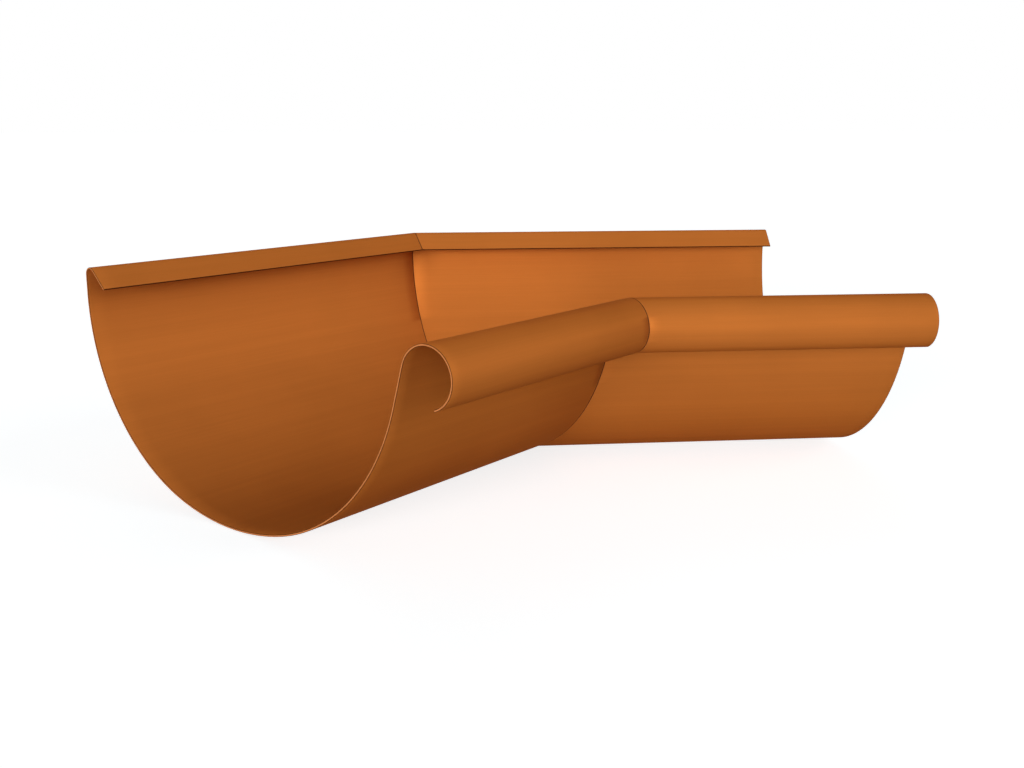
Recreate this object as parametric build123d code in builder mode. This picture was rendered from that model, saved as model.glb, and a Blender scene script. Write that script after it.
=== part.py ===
from build123d import *
from math import cos, radians, sin, tan
import os

# Inside miter for a six-inch half-round gutter: the corner piece that carries a gutter round a bay.
# Two short lengths of one rolled sheet section meet on the miter plane, X = 0, and are soldered there.
# Millimetres and degrees, +Z up. The open troughs face up, and the beads run along the hollow side, -Y.
# The origin is the centre of the base of the part's box, level with the bowls' lowest lines.

# Plan
miter_angle = 135.0  # between the two runs, seen from above
bead_length = 101.6  # of each leg, along the outermost line of its bead
seam_width = 0.4  # solder between the two cut ends

# Sheet section, measured on the face that looks into the trough
sheet = 0.7
bowl_width = 152.4  # between the upright tangents of the bowl's two sides
haunch_spread = 5.2  # from the bowl's middle to the centre of each side's arc
floor_turn = 15.9  # the flatter floor arc's angle, each side of the bowl's middle
front_lean = 15.5  # of the front wall, outward from upright
front_wall = 13.3  # straight part between the bowl and the bead
bead_diameter = 19.05
bead_wrap = 234.0  # from the front wall over the top to the lip
back_wall = 6.0  # straight and upright, between the bowl and the fold
fold_radius = 2.0
hem_slope = 45.0  # of the folded strip, down into the trough
hem_width = 8.7  # straight part of the folded strip

# The bowl is a three-centred arch turned over: two haunch arcs joined by a flatter floor arc
haunch_radius = bowl_width / 2 - haunch_spread
floor_radius = haunch_radius + haunch_spread / sin(radians(floor_turn))

# Section sketch: X runs from the back to the bead, Y up, and the floor's inner face passes through (0, 0)
with BuildSketch() as section:
    with BuildLine():
        front_floor = JernArc((0, 0), (1, 0), floor_radius, floor_turn)
        front_haunch = JernArc(front_floor @ 1, front_floor % 1, haunch_radius, 90 - floor_turn - front_lean)
        wall_top = front_haunch @ 1 + front_wall * (front_haunch % 1)
        wall = Line(front_haunch @ 1, wall_top)
        bead = JernArc(wall @ 1, wall % 1, bead_diameter / 2, -bead_wrap)
        back_floor = JernArc((0, 0), (-1, 0), floor_radius, -floor_turn)
        back_haunch = JernArc(back_floor @ 1, back_floor % 1, haunch_radius, floor_turn - 90)
        back = Line(back_haunch @ 1, back_haunch @ 1 + (0, back_wall))
        fold = JernArc(back @ 1, (0, 1), fold_radius, hem_slope - 180)
        hem = Line(fold @ 1, fold @ 1 + hem_width * (fold % 1))
        offset(amount=sheet, side=Side.LEFT)
    make_face()

# Plan sizes that follow: a leg is measured from the miter plane along the middle of its bowl
half_angle = radians(miter_angle / 2)
section_back = -bowl_width / 2 - sheet
section_front = bead.arc_center.X + bead_diameter / 2
leg_length = bead_length + section_front / tan(half_angle)
front_y = -section_front * sin(half_angle) - leg_length * cos(half_angle)
back_y = -section_back / sin(half_angle)
bowl_meet_y = -(front_y + back_y) / 2

# The right-hand leg's far end, looking along the leg to the miter
end_plane = Plane(
    origin=(leg_length * sin(half_angle), bowl_meet_y - leg_length * cos(half_angle), sheet),
    x_dir=(-cos(half_angle), -sin(half_angle), 0),
    z_dir=(-sin(half_angle), cos(half_angle), 0),
)
seam_face = Plane.YZ.offset(seam_width / 2)


# The rolled length runs on until all of the section has passed the miter plane
with BuildSketch(end_plane) as right_end:
    add(section.sketch)
rolled_length = leg_length - section_back / tan(half_angle) + seam_width

with BuildPart() as right_section:
    extrude(right_end.sketch, amount=rolled_length)
    split(bisect_by=seam_face, keep=Keep.TOP)

with BuildPart() as left_section:
    mirror(right_section.part, about=Plane.YZ)

# The solder fills the gap edge to edge, with the sheet's own section
with BuildPart() as miter_seam:
    extrude(right_end.sketch, amount=rolled_length)
    split(bisect_by=seam_face, keep=Keep.BOTTOM)
    split(bisect_by=Plane.YZ, keep=Keep.TOP)
    mirror(about=Plane.YZ)

right_section.part.label = "right_section"
left_section.part.label = "left_section"
miter_seam.part.label = "miter_seam"

os.makedirs("parts", exist_ok=True)
export_step(right_section.part, "parts/right_section.step")
export_step(left_section.part, "parts/left_section.step")
export_step(miter_seam.part, "parts/miter_seam.step")
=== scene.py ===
from math import cos, pi, radians, sin, tan

import bpy
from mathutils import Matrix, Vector


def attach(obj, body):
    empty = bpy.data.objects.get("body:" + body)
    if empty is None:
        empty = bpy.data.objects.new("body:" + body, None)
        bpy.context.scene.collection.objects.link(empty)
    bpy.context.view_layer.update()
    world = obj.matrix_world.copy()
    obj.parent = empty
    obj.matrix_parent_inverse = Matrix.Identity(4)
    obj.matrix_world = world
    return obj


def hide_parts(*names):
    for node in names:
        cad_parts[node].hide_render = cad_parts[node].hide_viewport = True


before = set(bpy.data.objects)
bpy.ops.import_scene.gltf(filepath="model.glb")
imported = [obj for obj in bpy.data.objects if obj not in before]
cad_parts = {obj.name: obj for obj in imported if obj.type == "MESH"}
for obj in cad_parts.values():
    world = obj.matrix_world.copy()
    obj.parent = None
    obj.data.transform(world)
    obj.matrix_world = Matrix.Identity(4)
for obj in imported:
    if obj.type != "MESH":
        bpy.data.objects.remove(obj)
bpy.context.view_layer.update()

# Sizes in metres, as in the part's source. A half-round gutter's inside miter: two rolled lengths
# of copper sheet meet on the plane X = 0. Sizes of the section are those of its trough side.
MITER_ANGLE = radians(135.0)
BEAD_LENGTH = 0.1016
SEAM_WIDTH = 0.0004
SHEET = 0.0007
BOWL_WIDTH = 0.1524
HAUNCH_SPREAD = 0.0052
FLOOR_TURN = radians(15.9)
FRONT_LEAN = radians(15.5)
FRONT_WALL = 0.0133
BEAD_DIAMETER = 0.01905
BEAD_WRAP = radians(234.0)
BACK_WALL = 0.0060
FOLD_RADIUS = 0.0020
HEM_SLOPE = radians(45.0)
HEM_WIDTH = 0.0087

HAUNCH_RADIUS = BOWL_WIDTH / 2 - HAUNCH_SPREAD
FLOOR_RADIUS = HAUNCH_RADIUS + HAUNCH_SPREAD / sin(FLOOR_TURN)
HALF_ANGLE = MITER_ANGLE / 2

# How finely each stretch of the section is divided
FLOOR_PIECES = 12
FRONT_HAUNCH_PIECES = 42
BACK_HAUNCH_PIECES = 54
FRONT_WALL_PIECES = 3
BACK_WALL_PIECES = 2
BEAD_PIECES = 96
FOLD_PIECES = 18
HEM_PIECES = 3

# Rounding of the cut ends and long edges, and of the two corners beside the seam
CUT_EASE = 0.00014
SEAM_EASE = 0.00006
SEAM_SINK = 0.00005
EASE_STEPS = (90, 45, 0)
LEG_RINGS = (0.04, 0.5, 0.96)
SHARP_ANGLE = radians(35.0)

# The material slots of a rolled leg: the sheet; its cut faces, in fresh copper's lighter tone with a
# painted highlight; and its eased corners, painted dark as shade along the edges
SHEET_SLOT, CUT_HIGHLIGHT_SLOT, CORNER_SHADE_SLOT = 0, 1, 2

# The sheet's looks: colours are linear
METAL_SHARE = 0.2
EDGE_TINT = (0.3, 0.12, 0.05, 1)
COPPER = (0.530, 0.159, 0.029)
# the cut faces' colour: lighter than the sheet, partly fresh-sheared copper's own tone and partly a
# painted highlight of the edge catching light
CUT_TONE_AND_HIGHLIGHT = (0.60, 0.21, 0.066)
# the eased corners' colour: far darker than the sheet, a painted shade along the cut ends and the hem's
# and lip's long edges
CORNER_SHADE = (0.10, 0.03, 0.009)
SOLDER = (0.10, 0.034, 0.012)
TONE_SHIFT = 0.05
GLOSS_SHIFT = 0.06
ROLLED_STRETCH = 0.012
LINE_SCALE = 1900.0
BAND_SCALE = 260.0
CLOUD_SCALE = 16.0
TOOTH_SCALE = 2600.0
BUMP_DEPTH = 0.00003
# the span that one noise fills for the most part, and the one that a sum of two fills
NOISE_SPAN = (0.35, 0.65)
SUM_SPAN = (0.75, 1.25)

# Floor and backdrop: what the camera sees of them, and what they scatter onto the part
FLOOR_SIZE = 30.0
FLOOR_DROP = 0.0001
FLOOR_ROUGHNESS = 0.9
FLOOR_GLOW = 0.8
FLOOR_TINT = (0.965, 0.99, 1.0, 1)
FLOOR_PALE = 0.6
FLOOR_BOUNCE = 0.4
WORLD_LIGHT = 0.15

# The camera, solved from the photograph's outlines
EYE = Vector((-0.222889, -0.365514, 0.129913))
YAW = radians(61.8251)
PITCH = radians(12.0559)
FOCAL_PX = 1100.39
FRAME_PX = 1024
SENSOR = 36.0
SHIFT_X, SHIFT_Y = 0.03773, -0.02069
NEAR_CLIP = 0.01

# Lamps: name, azimuth, elevation, strength and spread, the angles in degrees
LAMPS = (("key", 216, 6, 2.75, 26),
         ("front", 248, 6, 0.42, 26),
         ("fill", 322, 21, 0.74, 40),
         ("back", 62, 40, 0.22, 60),
         ("rear", 96, 3, 0.75, 16))


class Chain:
    """Points along tangent lines and arcs, each with its heading and its distance from the start."""

    def __init__(self, heading):
        self.rows = [(0.0, 0.0, heading, 0.0)]

    def line(self, length, pieces):
        u, v, h, a = self.rows[-1]
        for i in range(1, pieces + 1):
            d = length * i / pieces
            self.rows.append((u + d * cos(h), v + d * sin(h), h, a + d))
        return self

    def arc(self, radius, turn, pieces):
        """Turns left for a positive angle, and right for a negative one."""
        u, v, h, a = self.rows[-1]
        side = 1 if turn > 0 else -1
        cu, cv = u - side * radius * sin(h), v + side * radius * cos(h)
        for i in range(1, pieces + 1):
            k = h + turn * i / pieces
            self.rows.append((cu + side * radius * sin(k), cv - side * radius * cos(k), k,
                              a + radius * abs(turn) * i / pieces))
        return self


front = (Chain(0.0).arc(FLOOR_RADIUS, FLOOR_TURN, FLOOR_PIECES)
         .arc(HAUNCH_RADIUS, pi / 2 - FLOOR_TURN - FRONT_LEAN, FRONT_HAUNCH_PIECES)
         .line(FRONT_WALL, FRONT_WALL_PIECES)
         .arc(BEAD_DIAMETER / 2, -BEAD_WRAP, BEAD_PIECES))
back = (Chain(pi).arc(FLOOR_RADIUS, -FLOOR_TURN, FLOOR_PIECES)
        .arc(HAUNCH_RADIUS, FLOOR_TURN - pi / 2, BACK_HAUNCH_PIECES)
        .line(BACK_WALL, BACK_WALL_PIECES)
        .arc(FOLD_RADIUS, HEM_SLOPE - pi, FOLD_PIECES)
        .line(HEM_WIDTH, HEM_PIECES))

# From the hem's edge to the bead's lip: place, outward normal, distance along the sheet
SECTION = [(u, v, -sin(h), cos(h), -a) for u, v, h, a in reversed(back.rows)]
SECTION += [(u, v, sin(h), -cos(h), a) for u, v, h, a in front.rows[1:]]
LAST = len(SECTION) - 1

SECTION_BACK = -BOWL_WIDTH / 2 - SHEET
SECTION_FRONT = max(row[0] for row in SECTION)
LEG_LENGTH = BEAD_LENGTH + SECTION_FRONT / tan(HALF_ANGLE)
FRONT_Y = -SECTION_FRONT * sin(HALF_ANGLE) - LEG_LENGTH * cos(HALF_ANGLE)
BACK_Y = -SECTION_BACK / sin(HALF_ANGLE)
BOWL_MEET_Y = -(FRONT_Y + BACK_Y) / 2


def place(u, v, t, side):
    """A section's point in the row's frame, at the distance t along a leg from where the bowls meet."""
    return Vector((side * (-u * cos(HALF_ANGLE) + t * sin(HALF_ANGLE)),
                   BOWL_MEET_Y - u * sin(HALF_ANGLE) - t * cos(HALF_ANGLE), v + SHEET))


def seam_distance(u, x):
    """How far along its leg a section's point reaches the plane at the distance x from the miter plane."""
    return (x + u * cos(HALF_ANGLE)) / sin(HALF_ANGLE)


def corner(i, inset, trough_side):
    """Two points of the eased corner where the sheet's long edge is cut."""
    u, v, nu, nv, a = SECTION[i]
    first = i == 0
    # the tangent that points out past the edge
    tu, tv = (-nv, nu) if first else (nv, -nu)
    near, far = inset, inset + CUT_EASE
    if not trough_side:
        near, far = SHEET - near, SHEET - far
    on_face = (u + nu * near - tu * (CUT_EASE + inset), v + nv * near - tv * (CUT_EASE + inset), a)
    on_edge = (u + nu * far - tu * inset, v + nv * far - tv * inset, a)
    # the walk goes along the trough side to the bead's lip and back along the outer side
    return [on_edge, on_face] if first == trough_side else [on_face, on_edge]


def loop(inset):
    """The sheet's closed outline, drawn in all round by inset: (u, v, distance along the sheet)."""
    out = []
    for walk, trough_side in ((range(LAST + 1), True), (range(LAST, -1, -1), False)):
        depth = inset if trough_side else SHEET - inset
        for i in walk:
            u, v, nu, nv, a = SECTION[i]
            if 0 < i < LAST:
                out.append((u + nu * depth, v + nv * depth, a))
            else:
                out += corner(i, inset, trough_side)
    return out


COUNT = len(loop(0.0))
# the stretches of the loop that are the sheet's own long edges: the hem's and the lip's
EDGE_SPANS = {0, LAST + 1, LAST + 2, LAST + 3, COUNT - 2, COUNT - 1}


def cap(start, flip):
    """Quads that close a cut across the sheet, from its trough side to its outer side."""
    out = []
    for i in range(COUNT // 2 - 1):
        face = (start + i, start + i + 1, start + COUNT - 2 - i, start + COUNT - 1 - i)
        out.append(face[::-1] if flip else face)
    return out


def make_object(name, verts, faces, face_slots, uvs, materials):
    mesh = bpy.data.meshes.new(name)
    mesh.from_pydata([tuple(v) for v in verts], [], faces)
    layer = mesh.uv_layers.new(name="rolled")
    for poly in mesh.polygons:
        for li, vi in zip(poly.loop_indices, poly.vertices):
            layer.data[li].uv = uvs[vi]
        poly.material_index = face_slots[poly.index]
    for m in materials:
        mesh.materials.append(m)
    mesh.validate()
    mesh.update()
    obj = bpy.data.objects.new(name, mesh)
    bpy.context.scene.collection.objects.link(obj)
    bpy.context.view_layer.objects.active = obj
    obj.select_set(True)
    bpy.ops.object.shade_smooth_by_angle(angle=SHARP_ANGLE)
    obj.select_set(False)
    return obj


def rolled_leg(name, side, materials):
    """One rolled length, from its square cut end to the seam's face."""
    verts, uvs, faces, slots, rings = [], [], [], [], []

    def ring(inset, distance):
        rings.append(len(verts))
        for u, v, a in loop(inset):
            t = distance(u)
            verts.append(place(u, v, t, side))
            uvs.append((a, t))

    for q in map(radians, EASE_STEPS):
        end = LEG_LENGTH - CUT_EASE * (1 - sin(q))
        ring(CUT_EASE * (1 - cos(q)), lambda u: end)
    for share in LEG_RINGS:
        ring(0.0, lambda u: LEG_LENGTH * (1 - share) + seam_distance(u, SEAM_WIDTH / 2) * share)
    for q in (0.0, pi / 2):
        x = SEAM_WIDTH / 2 + SEAM_EASE * (1 - sin(q))
        ring(SEAM_EASE * (1 - cos(q)), lambda u: seam_distance(u, x))

    for k, (lower, upper) in enumerate(zip(rings, rings[1:])):
        # the cut end's eased rings and the hem's and lip's edge spans take the corner material, a painted
        # shade along these edges
        slot = CORNER_SHADE_SLOT if k < len(EASE_STEPS) - 1 else SHEET_SLOT
        for i in range(COUNT):
            j = (i + 1) % COUNT
            face = (lower + i, lower + j, upper + j, upper + i)
            faces.append(face if side > 0 else face[::-1])
            slots.append(CORNER_SHADE_SLOT if i in EDGE_SPANS else slot)
    # the cut faces take the cut material: fresh copper's lighter tone with a painted highlight
    for start, flip in ((rings[0], side > 0), (rings[-1], side < 0)):
        closing = cap(start, flip)
        faces += closing
        slots += [CUT_HIGHLIGHT_SLOT] * len(closing)
    return make_object(name, verts, faces, slots, uvs, materials)


def solder_seam(name, materials):
    """The solder web between the two cut ends, its rims drawn in a little from the sheet's faces."""
    verts, uvs, faces, rings = [], [], [], []
    for x, inset in ((-SEAM_WIDTH / 2, SEAM_SINK), (0.0, 0.0), (SEAM_WIDTH / 2, SEAM_SINK)):
        rings.append(len(verts))
        for u, v, a in loop(inset):
            p = place(u, v, seam_distance(u, 0.0), 1)
            verts.append(Vector((x, p.y, p.z)))
            uvs.append((a, x))
    for lower, upper in zip(rings, rings[1:]):
        for i in range(COUNT):
            j = (i + 1) % COUNT
            faces.append((lower + i, upper + i, upper + j, lower + j))
    faces += cap(rings[0], False) + cap(rings[-1], True)
    return make_object(name, verts, faces, [0] * len(faces), uvs, materials)


def new_material(name):
    mat = bpy.data.materials.new(name)
    mat.use_nodes = True
    return mat, mat.node_tree, mat.node_tree.nodes["Principled BSDF"]


def noise(tree, vector, scale, detail, roughness):
    n = tree.nodes.new("ShaderNodeTexNoise")
    n.inputs["Scale"].default_value = scale
    n.inputs["Detail"].default_value = detail
    n.inputs["Roughness"].default_value = roughness
    tree.links.new(vector, n.inputs["Vector"])
    return n.outputs["Fac"]


def remap(tree, value, low, high, low_value, high_value):
    n = tree.nodes.new("ShaderNodeMapRange")
    n.inputs["From Min"].default_value = low
    n.inputs["From Max"].default_value = high
    n.inputs["To Min"].default_value = low_value
    n.inputs["To Max"].default_value = high_value
    tree.links.new(value, n.inputs["Value"])
    return n.outputs["Result"]


def add(tree, one, other, clamp=False):
    n = tree.nodes.new("ShaderNodeMath")
    n.operation = "ADD"
    n.use_clamp = clamp
    tree.links.new(one, n.inputs[0])
    tree.links.new(other, n.inputs[1])
    return n.outputs["Value"]


def copper(name, colour, roughness, streak, grain_bump):
    """Rolled copper: cloudy toning, lines along the rolling direction, a fine tooth, satin gloss."""
    mat, tree, shader = new_material(name)
    link = tree.links.new
    shader.inputs["Metallic"].default_value = METAL_SHARE
    shader.inputs["Specular Tint"].default_value = EDGE_TINT
    shader.inputs["Specular IOR Level"].default_value = 0.0

    # lines and bands from the rolls: fine across the sheet, long along the leg
    rolled = tree.nodes.new("ShaderNodeUVMap")
    rolled.uv_map = "rolled"
    stretch = tree.nodes.new("ShaderNodeMapping")
    stretch.inputs["Scale"].default_value = (1.0, ROLLED_STRETCH, 1.0)
    link(rolled.outputs["UV"], stretch.inputs["Vector"])
    along = stretch.outputs["Vector"]
    lines = noise(tree, along, LINE_SCALE, detail=4.0, roughness=0.6)
    bands = noise(tree, along, BAND_SCALE, detail=3.0, roughness=0.55)
    space = tree.nodes.new("ShaderNodeTexCoord").outputs["Object"]
    clouds = noise(tree, space, CLOUD_SCALE, detail=3.0, roughness=0.5)
    tooth = noise(tree, space, TOOTH_SCALE, detail=2.0, roughness=0.5)

    # colour: the clouds shift the tone a little, the lines and bands lighten and darken it
    tone = tree.nodes.new("ShaderNodeMix")
    tone.data_type = "RGBA"
    factor, dark, light = tone.inputs[0], tone.inputs[6], tone.inputs[7]
    dark.default_value = (*[c * (1 - TONE_SHIFT) for c in colour], 1)
    light.default_value = (*[c * (1 + TONE_SHIFT) for c in colour], 1)
    link(remap(tree, clouds, *NOISE_SPAN, 0.0, 1.0), factor)
    shade = tree.nodes.new("ShaderNodeHueSaturation")
    link(tone.outputs[2], shade.inputs["Color"])
    both = add(tree, lines, bands)
    link(remap(tree, both, *SUM_SPAN, 1 - streak, 1 + streak), shade.inputs["Value"])
    link(shade.outputs["Color"], shader.inputs["Base Color"])

    uneven = add(tree, clouds, lines)
    gloss = remap(tree, uneven, *SUM_SPAN, roughness - GLOSS_SHIFT, roughness + GLOSS_SHIFT)
    link(gloss, shader.inputs["Roughness"])

    bump = tree.nodes.new("ShaderNodeBump")
    bump.inputs["Strength"].default_value = grain_bump
    bump.inputs["Distance"].default_value = BUMP_DEPTH
    link(add(tree, lines, tooth), bump.inputs["Height"])
    link(bump.outputs["Normal"], shader.inputs["Normal"])
    return mat


sheet_satin = copper("copper_sheet_satin", COPPER, roughness=0.46, streak=0.04, grain_bump=0.2)
# the cut faces' material: fresh copper's own lighter tone with a painted highlight
sheet_cut_and_highlight = copper("copper_sheet_cut_edge_and_painted_highlight", CUT_TONE_AND_HIGHLIGHT, roughness=0.42, streak=0.10, grain_bump=0.3)
# painted shade: the eased corners' material takes the dark corner colour
sheet_corner_shade = copper("copper_sheet_corner_painted_shade", CORNER_SHADE, roughness=0.55, streak=0.10, grain_bump=0.3)
solder_dull = copper("solder_toned", SOLDER, roughness=0.55, streak=0.10, grain_bump=0.3)

left = rolled_leg("left_section_sheet", -1, [sheet_satin, sheet_cut_and_highlight, sheet_corner_shade])
right = rolled_leg("right_section_sheet", 1, [sheet_satin, sheet_cut_and_highlight, sheet_corner_shade])
seam = solder_seam("miter_seam_solder", [solder_dull])

for piece, cad_node, slot in ((left, "left_section", "copper_sheet"),
                              (right, "right_section", "copper_sheet"),
                              (seam, "miter_seam", "solder")):
    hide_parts(cad_node)
    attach(piece, "root")


def seen_directly(tree):
    """1 for a ray from the camera or one that gloss or glass passes on, 0 for scattered light."""
    path = tree.nodes.new("ShaderNodeLightPath").outputs
    mirrored = add(tree, path["Is Camera Ray"], path["Is Glossy Ray"])
    return add(tree, mirrored, path["Is Transmission Ray"], clamp=True)


def make_floor():
    size = FLOOR_SIZE
    mesh = bpy.data.meshes.new("floor")
    mesh.from_pydata([(-size, -size, 0), (size, -size, 0), (size, size, 0), (-size, size, 0)], [],
                     [(0, 1, 2, 3)])
    floor = bpy.data.objects.new("floor", mesh)
    floor.location.z = -FLOOR_DROP
    bpy.context.scene.collection.objects.link(floor)
    mat, tree, shader = new_material("floor_paper")
    shader.inputs["Roughness"].default_value = FLOOR_ROUGHNESS
    shader.inputs["Specular IOR Level"].default_value = 0.0
    shader.inputs["Emission Color"].default_value = FLOOR_TINT
    seen = seen_directly(tree)
    tree.links.new(remap(tree, seen, 0.0, 1.0, 0.0, FLOOR_GLOW), shader.inputs["Emission Strength"])
    tree.links.new(remap(tree, seen, 0.0, 1.0, FLOOR_BOUNCE, FLOOR_PALE), shader.inputs["Base Color"])
    mesh.materials.append(mat)


def make_world():
    world = bpy.data.worlds.new("studio")
    bpy.context.scene.world = world
    world.use_nodes = True
    tree = world.node_tree
    sky = tree.nodes["Background"]
    sky.inputs["Color"].default_value = (1, 1, 1, 1)
    tree.links.new(remap(tree, seen_directly(tree), 0.0, 1.0, WORLD_LIGHT, 1.0), sky.inputs["Strength"])


def make_camera():
    data = bpy.data.cameras.new("camera")
    data.sensor_fit = "HORIZONTAL"
    data.sensor_width = SENSOR
    data.lens = FOCAL_PX * SENSOR / FRAME_PX
    data.shift_x, data.shift_y = SHIFT_X, SHIFT_Y
    data.clip_start = NEAR_CLIP
    camera = bpy.data.objects.new("camera", data)
    camera.location = EYE
    look = Vector((cos(YAW) * cos(PITCH), sin(YAW) * cos(PITCH), -sin(PITCH)))
    camera.rotation_euler = look.to_track_quat("-Z", "Y").to_euler()
    bpy.context.scene.collection.objects.link(camera)
    bpy.context.scene.camera = camera


def sun(name, azimuth, elevation, strength, spread):
    """A large soft light that stands at these angles, in degrees, seen from the object."""
    a, e = radians(azimuth), radians(elevation)
    toward = Vector((cos(a) * cos(e), sin(a) * cos(e), sin(e)))
    data = bpy.data.lights.new(name, "SUN")
    data.energy = strength
    data.angle = radians(spread)
    obj = bpy.data.objects.new(name, data)
    obj.rotation_euler = toward.to_track_quat("Z", "Y").to_euler()
    bpy.context.scene.collection.objects.link(obj)


make_floor()
make_world()
make_camera()
for lamp in LAMPS:
    sun(*lamp)
bpy.context.scene.view_settings.view_transform = "Standard"
